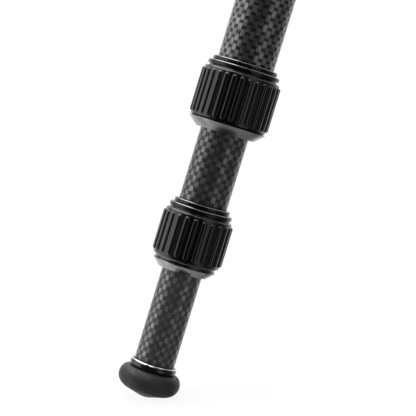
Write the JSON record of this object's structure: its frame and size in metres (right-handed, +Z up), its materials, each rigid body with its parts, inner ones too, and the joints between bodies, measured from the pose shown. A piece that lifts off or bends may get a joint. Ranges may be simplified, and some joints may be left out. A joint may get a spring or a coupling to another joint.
{
  "type": "camera tripod",
  "caption": "Camera tripod with folding telescopic carbon legs, ribbed twist locks, rubber feet, a sliding centre column with a head plate, and a weight hook.",
  "frame": {"origin": "on the floor plane that the three feet stand on, on the centre column's axis", "axes": "+Z up along the centre column; leg 3 stands on +Y, legs 1 and 2 on -Y to the left and right"},
  "size_m": [0.4426, 0.3875, 0.7071],
  "materials": {
    "carbon": "clear-coated plain carbon weave",
    "grip_rubber": "smooth moulded black rubber",
    "foot_rubber": "matt dark rubber",
    "satin_metal": "satin grey anodised",
    "gloss_black": "gloss black anodised",
    "cast_black": "fine-textured black powder coat on cast alloy",
    "nylon": "matt nylon",
    "steel": "satin steel"
  },
  "bodies": {
    "root": {"spider": "cast_black", "hinge_hardware": "steel"},
    "column": {"column_tube": "carbon", "head_plate": "cast_black", "head_stud": "steel", "column_end_cap": "gloss_black"},
    "column_clamp": {"column_collet": "nylon"},
    "column_lock": {"column_lock_nut": "gloss_black"},
    "hook": {"weight_hook": "steel"},
    "leg_1": {"leg_1_hinge_head": "cast_black", "leg_1_upper_tube": "carbon", "leg_1_upper_lock_sleeve": "gloss_black"},
    "leg_1_latch": {"leg_1_angle_latch": "satin_metal"},
    "leg_1_upper_clamp": {"leg_1_upper_lock_collet": "nylon"},
    "leg_1_upper_lock": {"leg_1_upper_lock_nut": "satin_metal", "leg_1_upper_lock_grip": "grip_rubber"},
    "leg_1_middle": {"leg_1_middle_tube": "carbon", "leg_1_middle_bush": "nylon", "leg_1_lower_lock_sleeve": "gloss_black"},
    "leg_1_lower_clamp": {"leg_1_lower_lock_collet": "nylon"},
    "leg_1_lower_lock": {"leg_1_lower_lock_nut": "satin_metal", "leg_1_lower_lock_grip": "grip_rubber"},
    "leg_1_lower": {"leg_1_lower_tube": "carbon", "leg_1_lower_bush": "nylon", "leg_1_foot_plug": "gloss_black", "leg_1_foot_pad": "foot_rubber"},
    "leg_2": {"leg_2_hinge_head": "cast_black", "leg_2_upper_tube": "carbon", "leg_2_upper_lock_sleeve": "gloss_black"},
    "leg_2_latch": {"leg_2_angle_latch": "satin_metal"},
    "leg_2_upper_clamp": {"leg_2_upper_lock_collet": "nylon"},
    "leg_2_upper_lock": {"leg_2_upper_lock_nut": "satin_metal", "leg_2_upper_lock_grip": "grip_rubber"},
    "leg_2_middle": {"leg_2_middle_tube": "carbon", "leg_2_middle_bush": "nylon", "leg_2_lower_lock_sleeve": "gloss_black"},
    "leg_2_lower_clamp": {"leg_2_lower_lock_collet": "nylon"},
    "leg_2_lower_lock": {"leg_2_lower_lock_nut": "satin_metal", "leg_2_lower_lock_grip": "grip_rubber"},
    "leg_2_lower": {"leg_2_lower_tube": "carbon", "leg_2_lower_bush": "nylon", "leg_2_foot_plug": "gloss_black", "leg_2_foot_pad": "foot_rubber"},
    "leg_3": {"leg_3_hinge_head": "cast_black", "leg_3_upper_tube": "carbon", "leg_3_upper_lock_sleeve": "gloss_black"},
    "leg_3_latch": {"leg_3_angle_latch": "satin_metal"},
    "leg_3_upper_clamp": {"leg_3_upper_lock_collet": "nylon"},
    "leg_3_upper_lock": {"leg_3_upper_lock_nut": "satin_metal", "leg_3_upper_lock_grip": "grip_rubber"},
    "leg_3_middle": {"leg_3_middle_tube": "carbon", "leg_3_middle_bush": "nylon", "leg_3_lower_lock_sleeve": "gloss_black"},
    "leg_3_lower_clamp": {"leg_3_lower_lock_collet": "nylon"},
    "leg_3_lower_lock": {"leg_3_lower_lock_nut": "satin_metal", "leg_3_lower_lock_grip": "grip_rubber"},
    "leg_3_lower": {"leg_3_lower_tube": "carbon", "leg_3_lower_bush": "nylon", "leg_3_foot_plug": "gloss_black", "leg_3_foot_pad": "foot_rubber"}
  },
  "joints": [
    {"name": "column_rise", "type": "slide", "parent": "root", "child": "column", "axis": [0, 0, 1], "range_m": [0, 0.209]},
    {"name": "column_clamp_shift", "type": "slide", "parent": "root", "child": "column_clamp", "axis": [0, 0, 1], "range_m": [0, 0.000843]},
    {"name": "column_lock_twist", "type": "hinge", "parent": "column_clamp", "child": "column_lock", "pos_m": [0, 0, 0.65859], "axis": [0, 0, 1], "range_deg": [0, 120]},
    {"name": "hook_swivel", "type": "hinge", "parent": "column", "child": "hook", "pos_m": [0, 0, 0.37459], "axis": [0, 0, 1], "continuous": true},
    {"name": "leg_1_fold", "type": "hinge", "parent": "root", "child": "leg_1", "pos_m": [-0.03464, -0.02, 0.61819], "axis": [0.5, -0.866, 0], "range_deg": [0, 18]},
    {"name": "leg_1_latch_pull", "type": "slide", "parent": "leg_1", "child": "leg_1_latch", "axis": [-0.8236, -0.4755, 0.309], "range_m": [0, 0.006], "stiffness_N_per_m": 250, "springref_m": -0.006},
    {"name": "leg_1_upper_clamp_shift", "type": "slide", "parent": "leg_1", "child": "leg_1_upper_clamp", "axis": [-0.2676, -0.1545, -0.9511], "range_m": [0, 0.000843]},
    {"name": "leg_1_upper_lock_twist", "type": "hinge", "parent": "leg_1_upper_clamp", "child": "leg_1_upper_lock", "pos_m": [-0.17126, -0.09888, 0.13267], "axis": [-0.2676, -0.1545, -0.9511], "range_deg": [0, 120]},
    {"name": "leg_1_lower_clamp_shift", "type": "slide", "parent": "leg_1_middle", "child": "leg_1_lower_clamp", "axis": [-0.2676, -0.1545, -0.9511], "range_m": [0, 0.000843]},
    {"name": "leg_1_lower_lock_twist", "type": "hinge", "parent": "leg_1_lower_clamp", "child": "leg_1_lower_lock", "pos_m": [-0.18983, -0.1096, 0.06667], "axis": [-0.2676, -0.1545, -0.9511], "range_deg": [0, 120]},
    {"name": "leg_1_middle_extend", "type": "slide", "parent": "leg_1", "child": "leg_1_middle", "axis": [-0.2676, -0.1545, -0.9511], "range_m": [-0.0343, 0.39]},
    {"name": "leg_1_lower_extend", "type": "slide", "parent": "leg_1_middle", "child": "leg_1_lower", "axis": [-0.2676, -0.1545, -0.9511], "range_m": [-0.0452, 0.402]},
    {"name": "leg_2_fold", "type": "hinge", "parent": "root", "child": "leg_2", "pos_m": [0.03464, -0.02, 0.61819], "axis": [0.5, 0.866, 0], "range_deg": [0, 18]},
    {"name": "leg_2_latch_pull", "type": "slide", "parent": "leg_2", "child": "leg_2_latch", "axis": [0.8236, -0.4755, 0.309], "range_m": [0, 0.006], "stiffness_N_per_m": 250, "springref_m": -0.006},
    {"name": "leg_2_upper_clamp_shift", "type": "slide", "parent": "leg_2", "child": "leg_2_upper_clamp", "axis": [0.2676, -0.1545, -0.9511], "range_m": [0, 0.000843]},
    {"name": "leg_2_upper_lock_twist", "type": "hinge", "parent": "leg_2_upper_clamp", "child": "leg_2_upper_lock", "pos_m": [0.17126, -0.09888, 0.13267], "axis": [0.2676, -0.1545, -0.9511], "range_deg": [0, 120]},
    {"name": "leg_2_lower_clamp_shift", "type": "slide", "parent": "leg_2_middle", "child": "leg_2_lower_clamp", "axis": [0.2676, -0.1545, -0.9511], "range_m": [0, 0.000843]},
    {"name": "leg_2_lower_lock_twist", "type": "hinge", "parent": "leg_2_lower_clamp", "child": "leg_2_lower_lock", "pos_m": [0.18983, -0.1096, 0.06667], "axis": [0.2676, -0.1545, -0.9511], "range_deg": [0, 120]},
    {"name": "leg_2_middle_extend", "type": "slide", "parent": "leg_2", "child": "leg_2_middle", "axis": [0.2676, -0.1545, -0.9511], "range_m": [-0.0343, 0.39]},
    {"name": "leg_2_lower_extend", "type": "slide", "parent": "leg_2_middle", "child": "leg_2_lower", "axis": [0.2676, -0.1545, -0.9511], "range_m": [-0.0452, 0.402]},
    {"name": "leg_3_fold", "type": "hinge", "parent": "root", "child": "leg_3", "pos_m": [0, 0.04, 0.61819], "axis": [-1, 0, 0], "range_deg": [0, 18]},
    {"name": "leg_3_latch_pull", "type": "slide", "parent": "leg_3", "child": "leg_3_latch", "axis": [0, 0.9511, 0.309], "range_m": [0, 0.006], "stiffness_N_per_m": 250, "springref_m": -0.006},
    {"name": "leg_3_upper_clamp_shift", "type": "slide", "parent": "leg_3", "child": "leg_3_upper_clamp", "axis": [0, 0.309, -0.9511], "range_m": [0, 0.000843]},
    {"name": "leg_3_upper_lock_twist", "type": "hinge", "parent": "leg_3_upper_clamp", "child": "leg_3_upper_lock", "pos_m": [0, 0.19775, 0.13267], "axis": [0, 0.309, -0.9511], "range_deg": [0, 120]},
    {"name": "leg_3_lower_clamp_shift", "type": "slide", "parent": "leg_3_middle", "child": "leg_3_lower_clamp", "axis": [0, 0.309, -0.9511], "range_m": [0, 0.000843]},
    {"name": "leg_3_lower_lock_twist", "type": "hinge", "parent": "leg_3_lower_clamp", "child": "leg_3_lower_lock", "pos_m": [0, 0.2192, 0.06667], "axis": [0, 0.309, -0.9511], "range_deg": [0, 120]},
    {"name": "leg_3_middle_extend", "type": "slide", "parent": "leg_3", "child": "leg_3_middle", "axis": [0, 0.309, -0.9511], "range_m": [-0.0343, 0.39]},
    {"name": "leg_3_lower_extend", "type": "slide", "parent": "leg_3_middle", "child": "leg_3_lower", "axis": [0, 0.309, -0.9511], "range_m": [-0.0452, 0.402]}
  ],
  "couplings": [
    {"joint": "column_clamp_shift", "follows": "column_lock_twist", "m_per_rad": 0.00039789},
    {"joint": "leg_1_upper_clamp_shift", "follows": "leg_1_upper_lock_twist", "m_per_rad": 0.00039789},
    {"joint": "leg_1_lower_clamp_shift", "follows": "leg_1_lower_lock_twist", "m_per_rad": 0.00039789},
    {"joint": "leg_2_upper_clamp_shift", "follows": "leg_2_upper_lock_twist", "m_per_rad": 0.00039789},
    {"joint": "leg_2_lower_clamp_shift", "follows": "leg_2_lower_lock_twist", "m_per_rad": 0.00039789},
    {"joint": "leg_3_upper_clamp_shift", "follows": "leg_3_upper_lock_twist", "m_per_rad": 0.00039789},
    {"joint": "leg_3_lower_clamp_shift", "follows": "leg_3_lower_lock_twist", "m_per_rad": 0.00039789}
  ]
}
